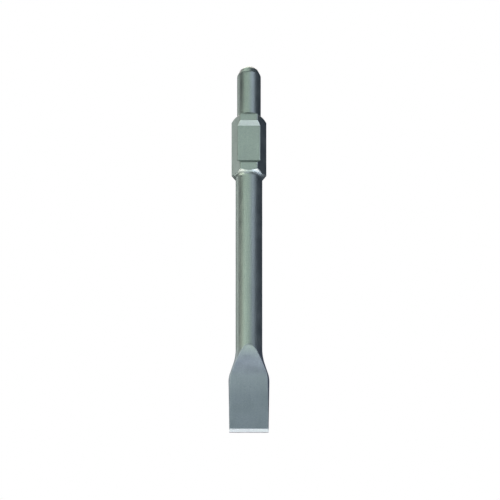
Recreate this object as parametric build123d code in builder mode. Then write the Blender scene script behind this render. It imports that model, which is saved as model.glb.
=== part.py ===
from build123d import *
from math import acos, cos, degrees, radians, sin, sqrt, tan
import os

# Flat chisel for an electric demolition hammer: one piece of forged and ground steel.
#
# It lies along Y on one flat of its hexagon: the striking end points to +Y, the cutting edge to -Y,
# the blade is wide along X, and the retainer notch faces +Z. The origin is under its middle, on the
# surface that it lies on. Sizes are in millimetres and angles in degrees. A station is a distance
# along the axis from the striking end.

LENGTH = 410.0
HEX_ACROSS_FLATS = 30.0
HEX_CORNER_RADIUS = 1.5
AXIS_HEIGHT = HEX_ACROSS_FLATS / 2

# Striking end, with a chamfer and then a cone, and the round guide behind it.
STRIKING_FACE_RADIUS = 5.1
STRIKING_EDGE_ROUNDING = 0.8
CHAMFER_END = 3.4
CHAMFER_END_RADIUS = 8.8
CHAMFER_END_ROUNDING = 2.0
STRIKING_CONE_END = 9.5
STRIKING_CONE_ROUNDING = 3.0
GUIDE_RADIUS = 11.6
GUIDE_END = 56.1
GUIDE_ROOT_ROUNDING = 1.2

# The hexagon runs from a cone at the guide to a hollow radius at the shaft. On the upper and the
# lower flat the cone gives way to a level-edged ramp, which rises at 45 degrees out of the guide and
# widens within a steeper cone.
HEX_CONE_ANGLE = 45.0
RAMP_START = 55.2
RAMP_END = 59.2
RAMP_HALF_WIDTH = 9.2
RAMP_CONE_START_RADIUS = 10.6
RAMP_CONE_END_RADIUS = 17.4
SHAFT_RADIUS = 13.1
SHAFT_ROOT_STATION = 126.7
SHAFT_ROOT_RADIUS = 6.0

# Retainer notch, cut straight across the top flat, with ends that slope at 45 degrees.
NOTCH_START = 66.1
NOTCH_END = 113.6
NOTCH_DEPTH = 4.3
NOTCH_FLOOR_ROUNDING = 1.2

# Sides of the blade: a hollow arc from the shaft, a straight flare, a round shoulder, a slight taper.
FLARE_START = 316.2
FLARE_RADIUS = 60.0
FLARE_ANGLE = 16.7
FLARE_LENGTH = 10.5
SHOULDER_RADIUS = 31.0
SIDE_TAPER_ANGLE = 0.8
SIDE_DEPTH_AT_TIP = 12.0
SECTIONS_START = 305.0
SECTION_STEP = 5.0

# Faces of the blade: a hollow run-out from the shaft, a long taper and a ground bevel at the edge.
FACE_HOLLOW_RADIUS = 85.0
FACE_HOLLOW_END = 350.2
HALF_THICKNESS_AT_HOLLOW = 4.9
FACE_TAPER_ANGLE = 2.8
BEVEL_START = 407.0
EDGE_HALF_THICKNESS = 0.5
BLADE_EDGE_ROUNDING = 0.7
CUTTER_CLEARANCE = 5.0


def along(station):
    """The Y of a station."""
    return LENGTH / 2 - station


def half_width(station):
    """Half the width of the shaft or the blade at a station."""
    slope = radians(FLARE_ANGLE)
    taper = radians(SIDE_TAPER_ANGLE)
    hollow_end = FLARE_START + FLARE_RADIUS * sin(slope)
    shoulder_start = hollow_end + FLARE_LENGTH
    shoulder_top = shoulder_start + SHOULDER_RADIUS * sin(slope)
    shoulder_end = shoulder_top + SHOULDER_RADIUS * sin(taper)
    hollow_width = SHAFT_RADIUS + FLARE_RADIUS * (1 - cos(slope))
    shoulder_width = hollow_width + FLARE_LENGTH * tan(slope)
    widest = shoulder_width + SHOULDER_RADIUS * (1 - cos(slope))
    if station <= FLARE_START:
        return SHAFT_RADIUS
    if station <= hollow_end:
        return SHAFT_RADIUS + FLARE_RADIUS - sqrt(FLARE_RADIUS**2 - (station - FLARE_START) ** 2)
    if station <= shoulder_start:
        return hollow_width + (station - hollow_end) * tan(slope)
    if station <= shoulder_end:
        return widest - SHOULDER_RADIUS + sqrt(SHOULDER_RADIUS**2 - (station - shoulder_top) ** 2)
    return widest - (station - shoulder_end) * tan(taper)


def half_depth(station):
    """Half the height of the blade's rounded sides at a station, before its faces are cut."""
    share = max(0.0, station - FLARE_START) / (LENGTH - FLARE_START)
    return SHAFT_RADIUS + share * (SIDE_DEPTH_AT_TIP - SHAFT_RADIUS)


def round_corner(sketch, station, radius, rounding):
    """Round the corner of a side-plane sketch that lies at a station and a radius."""
    corner = sketch.vertices().sort_by_distance((along(station), radius))[0]
    fillet(corner, rounding)


# Planes through and across the axis: x of the side plane is +Y, and its y is +Z.
side = Plane(origin=(0, 0, AXIS_HEIGHT), x_dir=(0, 1, 0), z_dir=(1, 0, 0))
across = Plane(origin=(0, 0, AXIS_HEIGHT), x_dir=(1, 0, 0), z_dir=(0, -1, 0))
axis = Axis(origin=(0, 0, AXIS_HEIGHT), direction=(0, 1, 0))
flat = HEX_ACROSS_FLATS / 2

with BuildPart() as ramps:
    # Both slopes at once, level across the flats.
    with BuildSketch(side) as slopes:
        with BuildLine():
            Polyline(
                (along(RAMP_START), 0),
                (along(RAMP_START), flat - (RAMP_END - RAMP_START)),
                (along(RAMP_END), flat),
                (along(NOTCH_START), flat),
                (along(NOTCH_START), 0),
                close=True,
            )
        make_face()
        mirror(about=Plane.XZ)
    extrude(amount=RAMP_HALF_WIDTH, both=True)

    # The steeper cone that they widen within.
    with BuildSketch(side) as spread:
        with BuildLine():
            Polyline(
                (along(RAMP_START), 0),
                (along(RAMP_START), RAMP_CONE_START_RADIUS),
                (along(RAMP_END), RAMP_CONE_END_RADIUS),
                (along(NOTCH_START), RAMP_CONE_END_RADIUS),
                (along(NOTCH_START), 0),
                close=True,
            )
        make_face()
    revolve(axis=axis, mode=Mode.INTERSECT)

with BuildPart() as chisel:
    # Striking end, guide, cone and shaft, turned about the axis.
    turned_radius = SHAFT_RADIUS + SHAFT_ROOT_RADIUS
    cone_end = GUIDE_END + (turned_radius - GUIDE_RADIUS) / tan(radians(HEX_CONE_ANGLE))
    root_start = SHAFT_ROOT_STATION - SHAFT_ROOT_RADIUS
    with BuildSketch(side) as turned:
        with BuildLine():
            Polyline(
                (along(root_start), turned_radius),
                (along(cone_end), turned_radius),
                (along(GUIDE_END), GUIDE_RADIUS),
                (along(STRIKING_CONE_END), GUIDE_RADIUS),
                (along(CHAMFER_END), CHAMFER_END_RADIUS),
                (along(0), STRIKING_FACE_RADIUS),
                (along(0), 0),
                (along(SECTIONS_START), 0),
                (along(SECTIONS_START), SHAFT_RADIUS),
                (along(SHAFT_ROOT_STATION), SHAFT_RADIUS),
            )
            CenterArc(
                center=(along(SHAFT_ROOT_STATION), turned_radius),
                radius=SHAFT_ROOT_RADIUS,
                start_angle=270,
                arc_size=90,
            )
        make_face()
        round_corner(turned, 0, STRIKING_FACE_RADIUS, STRIKING_EDGE_ROUNDING)
        round_corner(turned, CHAMFER_END, CHAMFER_END_RADIUS, CHAMFER_END_ROUNDING)
        round_corner(turned, STRIKING_CONE_END, GUIDE_RADIUS, STRIKING_CONE_ROUNDING)
        round_corner(turned, GUIDE_END, GUIDE_RADIUS, GUIDE_ROOT_ROUNDING)
    revolve(axis=axis)

    # Ramps of the upper and the lower flat.
    add(ramps.part)

    # The hexagonal bar that the shank is cut from, with two flats level.
    with BuildSketch(across) as bar:
        RegularPolygon(radius=flat, side_count=6, major_radius=False)
        fillet(bar.vertices(), HEX_CORNER_RADIUS)
    extrude(amount=LENGTH, both=True, mode=Mode.INTERSECT)

    # Retainer notch.
    with BuildSketch(side) as notch:
        with BuildLine():
            Polyline(
                (along(NOTCH_START - NOTCH_DEPTH), flat + NOTCH_DEPTH),
                (along(NOTCH_START + NOTCH_DEPTH), flat - NOTCH_DEPTH),
                (along(NOTCH_END - NOTCH_DEPTH), flat - NOTCH_DEPTH),
                (along(NOTCH_END + NOTCH_DEPTH), flat + NOTCH_DEPTH),
                close=True,
            )
        make_face()
        for station in (NOTCH_START + NOTCH_DEPTH, NOTCH_END - NOTCH_DEPTH):
            round_corner(notch, station, flat - NOTCH_DEPTH, NOTCH_FLOOR_ROUNDING)
    extrude(amount=HEX_ACROSS_FLATS, both=True, mode=Mode.SUBTRACT)

    # Flared body of the blade: evenly spaced oval sections from the shaft to the cutting edge.
    for step in range(round((LENGTH - SECTIONS_START) / SECTION_STEP) + 1):
        station = SECTIONS_START + step * SECTION_STEP
        with BuildSketch(across.offset(-along(station))):
            Ellipse(half_width(station), half_depth(station))
    loft()

    # Space that the forging die and the grindstone leave over the upper face of the blade.
    taper = radians(FACE_TAPER_ANGLE)
    arc_centre = (
        along(FACE_HOLLOW_END) - FACE_HOLLOW_RADIUS * sin(taper),
        HALF_THICKNESS_AT_HOLLOW + FACE_HOLLOW_RADIUS * cos(taper),
    )
    clear_height = SHAFT_RADIUS + CUTTER_CLEARANCE
    run_out_angle = degrees(acos((arc_centre[1] - clear_height) / FACE_HOLLOW_RADIUS))
    bevel_half_thickness = HALF_THICKNESS_AT_HOLLOW - (BEVEL_START - FACE_HOLLOW_END) * tan(taper)
    with BuildSketch(side) as over_face:
        with BuildLine():
            hollow = CenterArc(
                center=arc_centre,
                radius=FACE_HOLLOW_RADIUS,
                start_angle=270 + FACE_TAPER_ANGLE,
                arc_size=run_out_angle - FACE_TAPER_ANGLE,
            )
            Polyline(
                hollow @ 0,
                (along(BEVEL_START), bevel_half_thickness),
                (along(LENGTH), EDGE_HALF_THICKNESS),
                (along(LENGTH + CUTTER_CLEARANCE), EDGE_HALF_THICKNESS),
                (along(LENGTH + CUTTER_CLEARANCE), clear_height),
                hollow @ 1,
            )
        make_face()
        mirror(about=Plane.XZ)
    extrude(amount=LENGTH, both=True, mode=Mode.SUBTRACT)

    # Where each face runs out on the shaft, and along its two sides, its edge is softened.
    face_edges = (
        chisel.edges()
        .filter_by_position(Axis.Y, along(BEVEL_START), along(FLARE_START))
        .filter_by(GeomType.LINE, reverse=True)
        .filter_by(lambda edge: abs(edge.center().Z - AXIS_HEIGHT) > EDGE_HALF_THICKNESS)
    )
    fillet(face_edges, BLADE_EDGE_ROUNDING)

chisel.part.label = "flat_chisel"
os.makedirs("parts", exist_ok=True)
export_step(chisel.part, "parts/flat_chisel.step")
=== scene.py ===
"""Looks of a flat chisel for an electric demolition hammer.

The chisel is one forged piece, so its CAD node is replaced by one fine mesh of the same shape, with
softened edges and the slight unevenness of a forging. Shape sizes are in millimetres, as in the design,
and are turned into metres when the mesh is made. A station is a distance from the striking end.
Sections are measured from the chisel's axis, with x across the blade and z upwards.
"""

import math

import bpy
import numpy as np
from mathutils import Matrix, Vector, noise


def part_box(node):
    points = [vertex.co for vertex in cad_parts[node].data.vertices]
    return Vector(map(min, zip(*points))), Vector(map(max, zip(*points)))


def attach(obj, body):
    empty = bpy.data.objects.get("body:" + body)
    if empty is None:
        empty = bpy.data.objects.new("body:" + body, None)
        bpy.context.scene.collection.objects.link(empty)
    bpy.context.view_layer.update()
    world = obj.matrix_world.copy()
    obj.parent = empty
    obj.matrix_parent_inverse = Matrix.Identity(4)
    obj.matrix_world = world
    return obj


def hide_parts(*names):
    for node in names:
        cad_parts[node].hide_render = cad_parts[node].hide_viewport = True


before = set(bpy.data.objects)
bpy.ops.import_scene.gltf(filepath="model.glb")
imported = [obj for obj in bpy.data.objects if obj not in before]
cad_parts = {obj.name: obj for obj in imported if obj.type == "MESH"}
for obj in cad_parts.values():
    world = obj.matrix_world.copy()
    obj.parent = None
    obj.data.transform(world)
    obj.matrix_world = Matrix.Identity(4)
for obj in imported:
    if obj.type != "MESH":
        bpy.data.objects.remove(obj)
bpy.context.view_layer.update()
low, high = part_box("flat_chisel")

MM = 0.001
LENGTH = (high.y - low.y) / MM
AXIS_HEIGHT = (high.z - low.z) / 2
FLAT = AXIS_HEIGHT / MM

# Striking end and guide.
STRIKING_FACE, STRIKING_ROUNDING = 5.1, 0.8
CHAMFER_END, CHAMFER_RADIUS = 3.4, 8.8
CONE_END, GUIDE, GUIDE_END = 9.5, 11.6, 56.1
CHAMFER_SLOPE = (CHAMFER_RADIUS - STRIKING_FACE) / CHAMFER_END
CONE_SLOPE = (GUIDE - CHAMFER_RADIUS) / (CONE_END - CHAMFER_END)

# Hexagon, with its cone and ramps at one end, the root of the shaft at the other, and the notch.
HEX_NORMALS = np.radians(30 + 60 * np.arange(6))
HEX_CONE_SLOPE, RAMP_CONE_SLOPE = 1.0, 1.7
RAMP_START, RAMP_END, RAMP_HALF_WIDTH = 55.8, 59.2, 9.2
SHAFT = 13.1
SHAFT_ROOT, SHAFT_ROOT_RADIUS = 126.7, 6.0
TURNED = SHAFT + SHAFT_ROOT_RADIUS
NOTCH_START, NOTCH_END, NOTCH_DEPTH = 66.1, 113.6, 4.3
NOTCH_REACH = 1.3 * FLAT

# Blade. The run-out is followed up to a slope with this sine, and no face is cut before it.
FLARE_START, FLARE_RADIUS, FLARE_ANGLE, FLARE_LENGTH = 316.2, 60.0, math.radians(16.7), 10.5
SHOULDER_RADIUS = 31.0
SIDE_TAPER = math.radians(0.8)
SIDE_DEPTH_AT_TIP = 12.0
HOLLOW_RADIUS, HOLLOW_END, HOLLOW_HALF_THICKNESS = 85.0, 350.2, 4.9
STEEPEST_RUN_OUT = 0.9
NO_FACE = 4 * SHAFT
FACE_TAPER = math.radians(2.8)
BEVEL_START, EDGE_HALF_THICKNESS = 407.0, 0.5

# How crisp each kind of edge is: a higher power leaves a smaller rounding.
TURNED_EDGES, HEX_CORNERS, SHOULDER_EDGES, NOTCH_EDGES, BLADE_EDGES = 80, 51, 130, 80, 160

# Fineness of the mesh: points round a ring, rings along the chisel as (end of the stretch, spacing),
# and rings of the striking face and its edge. Each ring is spread out of a denser outline.
POINTS_ROUND = 180
HALF_ROUND = POINTS_ROUND // 2
STRETCHES = [
    (11, 0.35), (53, 1.6), (71.5, 0.25), (108.5, 1.5), (114.5, 0.25), (119.5, 0.6),
    (126.5, 0.2), (303, 1.6), (313, 1.0), (358, 0.5), (406.5, 1.0), (LENGTH, 0.25),
]
FACE_MIDDLE, FACE_RINGS, FACE_EDGE_RINGS = 0.6, 8, 4
DENSE = 1440
TURN_WEIGHT = 1.2
SMALLEST_RATIO = 1e-3

# Unevenness of the steel: waves of the rolled bar, dents of the hammer, and how much of both is left at
# stations along the chisel. The shift keeps the dents from following the waves.
WAVE_ACROSS, WAVE_ALONG, WAVE_DEPTH = 9, 26, 0.05
DENT_ACROSS, DENT_ALONG, DENT_DEPTH, DENT_SHIFT = 4, 7, 0.03, 50
UNEVEN_STATIONS = [58, 62, 118, 128, 400, 406]
UNEVEN_SHARES = [0.2, 0.15, 0.15, 1, 1, 0.1]


def crisp_min(first, second, power):
    """The smaller of two radii, rounded off where they meet."""
    smaller = np.minimum(first, second)
    ratio = smaller / np.maximum(first, second)
    return smaller * (1 + ratio**power) ** (-1 / power)


def turned_radius(station):
    """Radius of the turned shape of the shank, from the striking chamfer to the shaft."""
    if station < GUIDE_END:
        chamfer = STRIKING_FACE + CHAMFER_SLOPE * station
        cone = CHAMFER_RADIUS + CONE_SLOPE * (station - CHAMFER_END)
        return crisp_min(crisp_min(chamfer, cone, TURNED_EDGES), GUIDE, TURNED_EDGES)
    root = SHAFT_ROOT - station
    if root >= SHAFT_ROOT_RADIUS:
        return min(TURNED, GUIDE + HEX_CONE_SLOPE * (station - GUIDE_END))
    if root > 0:
        return TURNED - math.sqrt(SHAFT_ROOT_RADIUS**2 - root**2)
    return SHAFT


def ramp_radius(station, cosine, sine):
    """Distance from the axis to the two level-edged ramps, which widen within a steep cone."""
    height = FLAT - (RAMP_END - station)
    cone = GUIDE + RAMP_CONE_SLOPE * (station - RAMP_START)
    over = min(height, FLAT) / np.maximum(np.abs(sine), SMALLEST_RATIO)
    beside = RAMP_HALF_WIDTH / np.maximum(np.abs(cosine), SMALLEST_RATIO)
    return np.minimum(crisp_min(over, beside, SHOULDER_EDGES), cone)


def notch_height(station):
    """Height of the notch's floor and of its ends, which slope at 45 degrees, above the axis."""
    into = min(station - NOTCH_START, NOTCH_END - station)
    return FLAT - min(into, NOTCH_DEPTH)


def half_width(station):
    """Half the width of the shaft or the blade, seen from above."""
    hollow_end = FLARE_START + FLARE_RADIUS * math.sin(FLARE_ANGLE)
    shoulder_start = hollow_end + FLARE_LENGTH
    shoulder_top = shoulder_start + SHOULDER_RADIUS * math.sin(FLARE_ANGLE)
    hollow_width = SHAFT + FLARE_RADIUS * (1 - math.cos(FLARE_ANGLE))
    shoulder_width = hollow_width + FLARE_LENGTH * math.tan(FLARE_ANGLE)
    widest = shoulder_width + SHOULDER_RADIUS * (1 - math.cos(FLARE_ANGLE))
    if station <= FLARE_START:
        return SHAFT
    if station <= hollow_end:
        return SHAFT + FLARE_RADIUS - math.sqrt(FLARE_RADIUS**2 - (station - FLARE_START) ** 2)
    if station <= shoulder_start:
        return hollow_width + (station - hollow_end) * math.tan(FLARE_ANGLE)
    if station <= shoulder_top:
        return widest - SHOULDER_RADIUS + math.sqrt(SHOULDER_RADIUS**2 - (station - shoulder_top) ** 2)
    return widest - (station - shoulder_top) * math.tan(SIDE_TAPER)


def half_depth(station):
    """Half the height of the blade's rounded sides, before its faces are cut."""
    share = max(0.0, station - FLARE_START) / (LENGTH - FLARE_START)
    return SHAFT + share * (SIDE_DEPTH_AT_TIP - SHAFT)


def face_height(station):
    """Height of the blade's upper face above the axis: hollow run-out, long taper, ground bevel."""
    if station < HOLLOW_END:
        sine = math.sin(FACE_TAPER) + (HOLLOW_END - station) / HOLLOW_RADIUS
        if sine >= STEEPEST_RUN_OUT:
            return NO_FACE
        return HOLLOW_HALF_THICKNESS + HOLLOW_RADIUS * (math.cos(FACE_TAPER) - math.sqrt(1 - sine**2))
    height = HOLLOW_HALF_THICKNESS - (station - HOLLOW_END) * math.tan(FACE_TAPER)
    bevel_top = HOLLOW_HALF_THICKNESS - (BEVEL_START - HOLLOW_END) * math.tan(FACE_TAPER)
    along_bevel = (station - BEVEL_START) / (LENGTH - BEVEL_START)
    bevel = bevel_top + (EDGE_HALF_THICKNESS - bevel_top) * along_bevel
    return min(height, bevel)


def shank_radius(station, cosine, sine):
    """Distance from the axis to the shank: the hexagon, turned down, with its ramps and its notch."""
    facing = np.outer(cosine, np.cos(HEX_NORMALS)) + np.outer(sine, np.sin(HEX_NORMALS))
    radius = FLAT / np.sum(np.clip(facing, 0, 1) ** HEX_CORNERS, axis=1) ** (1 / HEX_CORNERS)
    turned = np.full_like(cosine, turned_radius(station))
    if RAMP_START < station < NOTCH_START:
        turned = np.maximum(turned, ramp_radius(station, cosine, sine))
    radius = crisp_min(radius, turned, SHOULDER_EDGES)
    if notch_height(station) < NOTCH_REACH:
        floor = notch_height(station) / np.maximum(sine, SMALLEST_RATIO)
        radius = crisp_min(radius, floor, NOTCH_EDGES)
    return radius


def blade_radius(station, cosine, sine):
    """Distance from the axis to the shaft or the blade: an oval that is cut by the two faces."""
    width, depth = half_width(station), half_depth(station)
    oval = 1 / np.sqrt((cosine / width) ** 2 + (sine / depth) ** 2)
    face = face_height(station) / np.maximum(np.abs(sine), SMALLEST_RATIO)
    return crisp_min(oval, face, BLADE_EDGES)


def outline(station):
    """Dense closed outline of the section at a station, with its points as even on a thin blade."""
    turn = np.linspace(0, 2 * math.pi, DENSE, endpoint=False)
    thin = min(1.0, face_height(station) / half_depth(station))
    x, z = half_width(station) * np.cos(turn), thin * half_depth(station) * np.sin(turn)
    reach = np.hypot(x, z)
    cosine, sine = x / reach, z / reach
    on_shank = station < (SHAFT_ROOT + FLARE_START) / 2
    radius = shank_radius(station, cosine, sine) if on_shank else blade_radius(station, cosine, sine)
    return np.column_stack([radius * cosine, radius * sine])


def spread(points, count):
    """Points spread evenly along an open line, closer together where the line turns."""
    steps = np.diff(points, axis=0)
    heading = np.unwrap(np.arctan2(steps[:, 1], steps[:, 0]))
    turning = np.abs(np.diff(heading, prepend=heading[0]))
    measure = np.concatenate([[0], np.cumsum(np.hypot(*steps.T) + TURN_WEIGHT * turning)])
    wanted = np.linspace(0, measure[-1], count + 1)[:-1]
    return np.column_stack([np.interp(wanted, measure, points[:, axis]) for axis in (0, 1)])


def ring(station):
    """The section at a station as POINTS_ROUND points, from +X over the top and back underneath."""
    dense = outline(station)
    closed = np.vstack([dense, dense[:1]])
    upper, lower = closed[: DENSE // 2 + 1], closed[DENSE // 2 :]
    return np.vstack([spread(upper, HALF_ROUND), spread(lower, HALF_ROUND)])


def ring_stations():
    """Stations of the rings from the end of the rounding at the striking face to the cutting edge."""
    stations, start = [], STRIKING_ROUNDING / 2
    for end, spacing in STRETCHES:
        count = max(1, round((end - start) / spacing))
        stations.extend(np.linspace(start, end, count, endpoint=False))
        start = end
    return stations + [LENGTH]


def striking_rings():
    """Rings of the striking face, from its middle out and round its edge."""
    turn = np.linspace(0, 2 * math.pi, POINTS_ROUND, endpoint=False)
    circle = np.column_stack([np.cos(turn), np.sin(turn)])
    full_turn = math.atan(1 / CHAMFER_SLOPE)
    inner = STRIKING_FACE - STRIKING_ROUNDING * math.tan(full_turn / 2)
    rings = [(0.0, radius * circle) for radius in np.linspace(FACE_MIDDLE, inner, FACE_RINGS)]
    for angle in np.linspace(0, full_turn, FACE_EDGE_RINGS + 1)[1:]:
        station = STRIKING_ROUNDING * (1 - math.cos(angle))
        radius = inner + STRIKING_ROUNDING * math.sin(angle)
        rings.append((station, radius * circle))
    return rings


def side_faces(rings):
    """Quads that join each ring to the next one."""
    faces = []
    for row in range(rings - 1):
        here, ahead = row * POINTS_ROUND, (row + 1) * POINTS_ROUND
        for column in range(POINTS_ROUND):
            after = (column + 1) % POINTS_ROUND
            faces.append((here + column, here + after, ahead + after, ahead + column))
    return faces


def edge_faces(first):
    """Faces that close the cutting edge, whose ring of points begins at the first one."""
    faces = [(first, first + 1, first + POINTS_ROUND - 1)]
    for column in range(1, HALF_ROUND - 1):
        upper, below = first + column, first + POINTS_ROUND - column
        faces.append((upper, upper + 1, below - 1, below))
    faces.append(tuple(first + HALF_ROUND + step for step in (-1, 0, 1)))
    return faces


def relief(point):
    """How far the steel stands proud at a point, both in millimetres."""
    x, station, z = point
    waves = noise.noise(Vector((x / WAVE_ACROSS, station / WAVE_ALONG, z / WAVE_ACROSS)))
    dents = noise.noise(Vector((x / DENT_ACROSS, station / DENT_ALONG + DENT_SHIFT, z / DENT_ACROSS)))
    left = np.interp(station, UNEVEN_STATIONS, UNEVEN_SHARES)
    return left * (WAVE_DEPTH * waves + DENT_DEPTH * dents)


def finish_points(mesh):
    """Add the unevenness of the steel, and put the points where the chisel lies, in metres."""
    points, outward = (np.empty(3 * len(mesh.vertices)) for _ in range(2))
    mesh.vertices.foreach_get("co", points)
    mesh.vertices.foreach_get("normal", outward)
    points, outward = points.reshape(-1, 3), outward.reshape(-1, 3)
    points += outward * np.array([[relief(point)] for point in points])
    x, station, z = points.T
    placed = np.column_stack([x * MM, high.y - station * MM, AXIS_HEIGHT + z * MM])
    mesh.vertices.foreach_set("co", placed.ravel())


def build_mesh():
    """The whole chisel as one closed mesh: rings joined by quads, with both ends closed."""
    rings = striking_rings() + [(station, ring(station)) for station in ring_stations()]
    points = [(x, station, z) for station, section in rings for x, z in section]
    middle = len(points)
    points.append((0.0, 0.0, 0.0))
    faces = side_faces(len(rings))
    faces.extend((middle, (column + 1) % POINTS_ROUND, column) for column in range(POINTS_ROUND))
    faces.extend(edge_faces(middle - POINTS_ROUND))
    mesh = bpy.data.meshes.new("flat_chisel_forging")
    mesh.from_pydata(points, [], faces)
    finish_points(mesh)
    mesh.polygons.foreach_set("use_smooth", [True] * len(mesh.polygons))
    mesh.update()
    return mesh


# Tints of the steel: green-grey on the bar, blue-grey on the forged blade, bare where it is ground.
BAR_STEEL = (0.35, 0.412, 0.378, 1)
BLADE_STEEL = (0.42, 0.475, 0.51, 1)
GROUND_STEEL = (0.52, 0.54, 0.56, 1)
DARK_SCALE = (0.70, 0.72, 0.74, 1)
WHITE = (1, 1, 1, 1)

# Stations over which the blade's tint comes in, and over which a painted shade darkens the blade past the
# run-out, standing in for the weaker light that reaches it towards the cutting edge.
BLADE_TINT_START, BLADE_TINT_END = 316, 334
PAINTED_SHADE_START, PAINTED_SHADE_END = 336, 372
BEVEL_BLUR = 0.3

# Sizes of the steel's textures in millimetres, how far some are drawn out, and their depths.
MOTTLE_SIZE, PIT_SIZE, GRAIN_SIZE = 14, 4, 0.9
STREAK_SIZE, STREAK_STRETCH = 2.2, 18
GRINDING_SIZE, GRINDING_STRETCH = 0.6, 10
PIT_DEPTH, GRAIN_DEPTH = 0.08, 0.05

# Roughness where the mottle is lowest and highest, and the pointiness at which edges are worn bright.
SMOOTHEST, ROUGHEST = 0.38, 0.47
WEAR_START, WEAR_FULL, WEAR_SHARE = 0.52, 0.60, 0.7


class Recipe:
    """Short calls for building one node material from places on the chisel."""

    def __init__(self, name):
        self.material = bpy.data.materials.new(name)
        self.material.use_nodes = True
        self.nodes = self.material.node_tree.nodes
        self.links = self.material.node_tree.links
        self.shader = self.nodes["Principled BSDF"]
        self.place = self.nodes.new("ShaderNodeTexCoord").outputs["Object"]

    def noise(self, size, stretch=1.0, detail=3.0):
        """Noise of a grain size in millimetres, drawn out along the chisel's axis by the stretch."""
        mapping = self.nodes.new("ShaderNodeMapping")
        across = 1 / (size * MM)
        mapping.inputs["Scale"].default_value = (across, across / stretch, across)
        texture = self.nodes.new("ShaderNodeTexNoise")
        texture.inputs["Scale"].default_value = 1.0
        texture.inputs["Detail"].default_value = detail
        self.links.new(self.place, mapping.inputs["Vector"])
        self.links.new(mapping.outputs["Vector"], texture.inputs["Vector"])
        return texture.outputs["Fac"]

    def remap(self, value, start, end, first, last):
        """The value's range from start to end, turned into the range from first to last."""
        node = self.nodes.new("ShaderNodeMapRange")
        self.links.new(value, node.inputs["Value"])
        for name, number in zip(("From Min", "From Max", "To Min", "To Max"), (start, end, first, last)):
            node.inputs[name].default_value = number
        return node.outputs["Result"]

    def past(self, first, last):
        """0 before the first station, 1 past the last one, and a ramp in between."""
        split = self.nodes.new("ShaderNodeSeparateXYZ")
        self.links.new(self.place, split.inputs["Vector"])
        return self.remap(split.outputs["Y"], high.y - first * MM, high.y - last * MM, 0, 1)

    def mix(self, share, first, second, blend="MIX"):
        """Two colours mixed by a share, each of them a value or another node's output."""
        node = self.nodes.new("ShaderNodeMix")
        node.data_type = "RGBA"
        node.blend_type = blend
        for socket, value in zip((node.inputs[0], node.inputs[6], node.inputs[7]), (share, first, second)):
            if isinstance(value, bpy.types.NodeSocket):
                self.links.new(value, socket)
            else:
                socket.default_value = value
        return node.outputs[2]

    def scaled(self, tint, texture, start, end, share):
        """The tint under dark scale: a share of it where the texture is low, none where it is high."""
        return self.mix(self.remap(texture, start, end, share, 0), tint, DARK_SCALE, "MULTIPLY")

    def product(self, first, second):
        """Two values multiplied."""
        node = self.nodes.new("ShaderNodeMath")
        node.operation = "MULTIPLY"
        self.links.new(first, node.inputs[0])
        self.links.new(second, node.inputs[1])
        return node.outputs[0]

    def bump(self, height, depth, below=None):
        """Relief of a depth in millimetres, on top of the relief below it."""
        node = self.nodes.new("ShaderNodeBump")
        node.inputs["Distance"].default_value = depth * MM
        self.links.new(height, node.inputs["Height"])
        if below:
            self.links.new(below, node.inputs["Normal"])
        return node.outputs["Normal"]


def forged_steel():
    """Forged and blasted steel: mottled oxide, fine grain, rolled streaks, a ground cutting edge, and
    painted shade on the blade past its run-out.
    """
    steel = Recipe("forged_steel")
    on_blade = steel.past(BLADE_TINT_START, BLADE_TINT_END)
    painted_shade_past_run_out = steel.past(PAINTED_SHADE_START, PAINTED_SHADE_END)
    on_bevel = steel.past(BEVEL_START - BEVEL_BLUR, BEVEL_START + BEVEL_BLUR)
    mottle, grain = steel.noise(MOTTLE_SIZE), steel.noise(GRAIN_SIZE, detail=4)
    streaks = steel.noise(STREAK_SIZE, stretch=STREAK_STRETCH)
    grinding = steel.noise(GRINDING_SIZE, stretch=GRINDING_STRETCH, detail=2)

    tint = steel.mix(on_blade, BAR_STEEL, BLADE_STEEL)
    # Painted shade: the tint is darkened past the run-out, for the weaker light that reaches the blade
    # towards its cutting edge.
    tint = steel.mix(painted_shade_past_run_out, tint, DARK_SCALE, "MULTIPLY")
    tint = steel.scaled(tint, mottle, 0.35, 0.62, share=0.16)
    tint = steel.scaled(tint, streaks, 0.38, 0.6, share=0.1)
    tint = steel.scaled(tint, grain, 0.38, 0.62, share=0.45)
    bare = steel.scaled(GROUND_STEEL, grinding, 0.35, 0.65, share=0.35)
    tint = steel.mix(on_bevel, tint, bare)
    pointiness = steel.nodes.new("ShaderNodeNewGeometry").outputs["Pointiness"]
    on_edges = steel.remap(pointiness, WEAR_START, WEAR_FULL, 0, WEAR_SHARE)
    worn = steel.product(on_edges, steel.remap(mottle, 0.4, 0.6, 0.4, 1))
    steel.links.new(steel.mix(worn, tint, GROUND_STEEL), steel.shader.inputs["Base Color"])

    roughness = steel.remap(mottle, 0.3, 0.7, SMOOTHEST, ROUGHEST)
    steel.links.new(roughness, steel.shader.inputs["Roughness"])
    steel.shader.inputs["Metallic"].default_value = 1.0
    forged = steel.remap(on_bevel, 0, 1, 1, 0)
    pitted = steel.bump(steel.product(steel.noise(PIT_SIZE, detail=2), forged), PIT_DEPTH)
    blasted = steel.bump(steel.product(grain, forged), GRAIN_DEPTH, pitted)
    steel.links.new(blasted, steel.shader.inputs["Normal"])
    return steel.material


def chisel():
    """The chisel itself, in place of its CAD node."""
    piece = bpy.data.objects.new("flat_chisel_forging", build_mesh())
    bpy.context.collection.objects.link(piece)
    piece.data.materials.append(forged_steel())
    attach(piece, "root")
    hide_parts("flat_chisel")


# Camera: a parallel view, because the photograph shows no perspective.
VIEW_ELEVATION = math.radians(60.7)
VIEW_DISTANCE = 2.0
VIEW_WIDTH = 0.49135
AIM = Vector((0.001, 0.0006, AXIS_HEIGHT))


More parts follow.
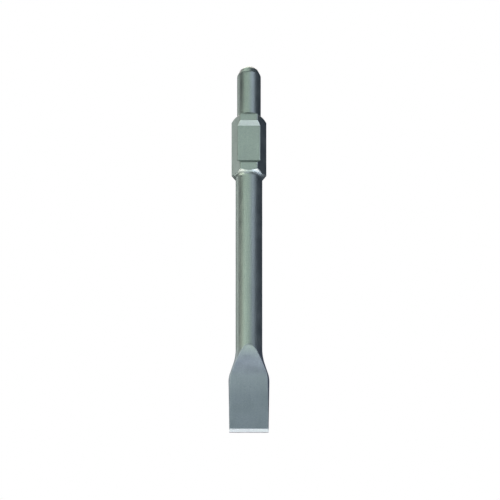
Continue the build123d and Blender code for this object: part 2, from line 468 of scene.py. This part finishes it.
def camera():
    """The camera, high on the side of the cutting edge and looking along the chisel."""
    data = bpy.data.cameras.new("camera")
    data.type = "ORTHO"
    data.ortho_scale = VIEW_WIDTH
    eye = bpy.data.objects.new("camera", data)
    back = Vector((0, -math.cos(VIEW_ELEVATION), math.sin(VIEW_ELEVATION)))
    eye.location = AIM + back * VIEW_DISTANCE
    eye.rotation_euler = (-back).to_track_quat("-Z", "Y").to_euler()
    bpy.context.collection.objects.link(eye)
    bpy.context.scene.camera = eye


# Floor: half its width, and how far it lies under the chisel so that the two never mix.
FLOOR_REACH = 8.0
FLOOR_DROP = 0.0005


def stage():
    """A plain white floor, seen by the camera only."""
    data = bpy.data.meshes.new("floor")
    turns = ((-1, -1), (1, -1), (1, 1), (-1, 1))
    data.from_pydata([(FLOOR_REACH * x, FLOOR_REACH * y, -FLOOR_DROP) for x, y in turns], [], [range(4)])
    floor = bpy.data.objects.new("floor", data)
    bpy.context.collection.objects.link(floor)
    material = bpy.data.materials.new("pale_floor")
    material.use_nodes = True
    nodes, links = material.node_tree.nodes, material.node_tree.links
    nodes.clear()
    glow = nodes.new("ShaderNodeEmission")
    output = nodes.new("ShaderNodeOutputMaterial")
    glow.inputs["Strength"].default_value = 1.0
    links.new(glow.outputs[0], output.inputs["Surface"])
    data.materials.append(material)
    floor.visible_glossy = False
    floor.visible_diffuse = False
    floor.visible_shadow = False


# Tints of the studio's light, and how bright its dim surroundings are.
COOL, ROSE, WARM = (0.78, 0.8, 1), (1, 0.88, 0.93), (1, 0.88, 0.84)
STRAW, LEAF, PLAIN = (1, 0.97, 0.82), (0.9, 1, 0.87), (1, 1, 0.97)
SURROUNDINGS = (0.035, 0.045, 0.07, 1)

# Soft square lights round the chisel, all of one size and distance: name, azimuth from the camera's
# side, elevation, power in watts, tint. Those below the floor stand for what a floor would throw back.
LIGHT_SIZE, LIGHT_DISTANCE = 0.6, 1.2
LIGHTS = [
    ("front_right", 30, 0, 8, ROSE),
    ("front_right_high", 30, 30, 6, COOL),
    ("right", 70, 5, 4, COOL),
    ("front_left", 330, 5, 7, WARM),
    ("front_left_high", 330, 35, 3, PLAIN),
    ("left_high", 270, 30, 5, STRAW),
    ("front_left_below", 300, -25, 3, PLAIN),
    ("left_below", 240, -25, 1.5, PLAIN),
    ("over_front", 0, 55, 2, LEAF),
    ("over_left", 300, 70, 1.5, COOL),
    ("over_middle", 185, 60, 1.5, LEAF),
    ("back_left", 235, 50, 2, LEAF),
    ("back_right", 145, 40, 2, COOL),
    ("back_low", 190, 0, 2, LEAF),
    ("back_below", 185, -30, 4, WARM),
]


def light(name, azimuth, elevation, power, tint):
    """One square soft light that faces the chisel."""
    turn, rise = math.radians(azimuth), math.radians(elevation)
    away = Vector((math.sin(turn) * math.cos(rise), -math.cos(turn) * math.cos(rise), math.sin(rise)))
    data = bpy.data.lights.new(name, "AREA")
    data.size = LIGHT_SIZE
    data.energy = power
    data.color = tint
    lamp = bpy.data.objects.new(name, data)
    lamp.location = away * LIGHT_DISTANCE
    lamp.rotation_euler = (-away).to_track_quat("-Z", "Y").to_euler()
    bpy.context.collection.objects.link(lamp)


def studio():
    """Dim surroundings, which look white where nothing stands in front of them, and the soft lights."""
    scene = bpy.context.scene
    scene.view_settings.view_transform = "Standard"
    world = bpy.data.worlds.new("studio")
    scene.world = world
    world.use_nodes = True
    nodes, links = world.node_tree.nodes, world.node_tree.links
    dim, backdrop = nodes["Background"], nodes.new("ShaderNodeBackground")
    dim.inputs["Color"].default_value = SURROUNDINGS
    backdrop.inputs["Color"].default_value = WHITE
    seen, shown = nodes.new("ShaderNodeLightPath"), nodes.new("ShaderNodeMixShader")
    links.new(seen.outputs["Is Camera Ray"], shown.inputs[0])
    links.new(dim.outputs[0], shown.inputs[1])
    links.new(backdrop.outputs[0], shown.inputs[2])
    links.new(shown.outputs[0], nodes["World Output"].inputs["Surface"])
    for values in LIGHTS:
        light(*values)


camera()
stage()
studio()
chisel()
